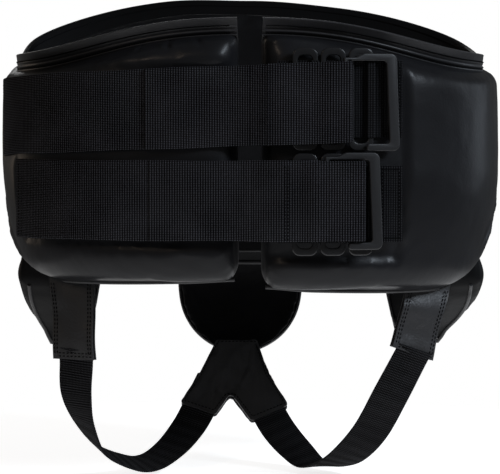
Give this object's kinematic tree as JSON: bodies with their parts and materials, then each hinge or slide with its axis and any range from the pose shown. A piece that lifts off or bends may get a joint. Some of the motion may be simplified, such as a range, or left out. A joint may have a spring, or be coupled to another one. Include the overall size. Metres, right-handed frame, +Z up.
{
  "type": "groin protector",
  "caption": "Padded belt-type groin protector with a hard cup, two elastic back straps hooking into rings, and elastic leg straps.",
  "frame": {"origin": "centre of the waist opening, level with the gap between the two back straps", "axes": "+X towards the wearer's left, +Y towards the wearer's back, +Z up the body"},
  "size_m": [0.4097, 0.3261, 0.4014],
  "materials": {
    "padded_vinyl": "satin, grained, glossy where it stretches",
    "lining": "smooth satin lining",
    "foam": "closed-cell foam, matte",
    "webbing": "ribbed elastic webbing",
    "leather": "soft, wrinkled, satin",
    "hook_plastic": "moulded, fine texture",
    "ring_plastic": "smooth moulded",
    "cup_plastic": "moulded"
  },
  "bodies": {
    "root": {"front_cover": "padded_vinyl", "front_foam": "foam", "front_lining": "lining", "front_flange": "leather", "cup_cover": "padded_vinyl", "cup_shell": "cup_plastic", "cup_pad": "lining", "yoke_outer": "leather", "yoke_backing": "leather", "left_leg_elastic": "webbing", "right_leg_elastic": "webbing"},
    "left_wing": {"left_wing_cover": "padded_vinyl", "left_wing_foam": "foam", "left_wing_lining": "lining", "left_wing_flange": "leather", "upper_back_strap": "webbing", "lower_back_strap": "webbing", "left_leg_tab": "leather"},
    "right_wing": {"right_wing_cover": "padded_vinyl", "right_wing_foam": "foam", "right_wing_lining": "lining", "right_wing_flange": "leather", "upper_base_tape": "webbing", "upper_ring_tape": "webbing", "lower_base_tape": "webbing", "lower_ring_tape": "webbing", "right_leg_tab": "leather"},
    "upper_hook": {"upper_hook": "hook_plastic"},
    "lower_hook": {"lower_hook": "hook_plastic"},
    "upper_ring_1": {"upper_ring_1": "ring_plastic"},
    "upper_ring_2": {"upper_ring_2": "ring_plastic"},
    "upper_ring_3": {"upper_ring_3": "ring_plastic"},
    "lower_ring_1": {"lower_ring_1": "ring_plastic"},
    "lower_ring_2": {"lower_ring_2": "ring_plastic"},
    "lower_ring_3": {"lower_ring_3": "ring_plastic"}
  },
  "joints": [
    {"name": "left_wing_flex", "type": "hinge", "parent": "root", "child": "left_wing", "pos_m": [0.204, 0, 0], "axis": [0, 0, -1], "range_deg": [0, 24]},
    {"name": "right_wing_flex", "type": "hinge", "parent": "root", "child": "right_wing", "pos_m": [-0.204, 0, 0], "axis": [0, 0, 1], "range_deg": [0, 24]},
    {"name": "upper_hook_swing", "type": "hinge", "parent": "left_wing", "child": "upper_hook", "pos_m": [-0.07396, 0.16367, 0.0435], "axis": [0, 0, -1], "range_deg": [0, 110]},
    {"name": "lower_hook_swing", "type": "hinge", "parent": "left_wing", "child": "lower_hook", "pos_m": [-0.05958, 0.16552, -0.0338], "axis": [0, 0, -1], "range_deg": [0, 110]},
    {"name": "upper_ring_1_rock", "type": "hinge", "parent": "right_wing", "child": "upper_ring_1", "pos_m": [-0.05069, 0.15938, 0.0455], "axis": [0, 0, 1], "range_deg": [0, 4]},
    {"name": "upper_ring_2_rock", "type": "hinge", "parent": "right_wing", "child": "upper_ring_2", "pos_m": [-0.07251, 0.15686, 0.0455], "axis": [0, 0, 1], "range_deg": [0, 4]},
    {"name": "upper_ring_3_rock", "type": "hinge", "parent": "right_wing", "child": "upper_ring_3", "pos_m": [-0.09414, 0.15267, 0.0455], "axis": [0, 0, 1], "range_deg": [0, 4]},
    {"name": "lower_ring_1_rock", "type": "hinge", "parent": "right_wing", "child": "lower_ring_1", "pos_m": [-0.05069, 0.15938, -0.0365], "axis": [0, 0, 1], "range_deg": [0, 4]},
    {"name": "lower_ring_2_rock", "type": "hinge", "parent": "right_wing", "child": "lower_ring_2", "pos_m": [-0.07251, 0.15686, -0.0365], "axis": [0, 0, 1], "range_deg": [0, 4]},
    {"name": "lower_ring_3_rock", "type": "hinge", "parent": "right_wing", "child": "lower_ring_3", "pos_m": [-0.09414, 0.15267, -0.0365], "axis": [0, 0, 1], "range_deg": [0, 4]}
  ],
  "couplings": [
    {"joint": "right_wing_flex", "follows": "left_wing_flex", "ratio": 1}
  ]
}
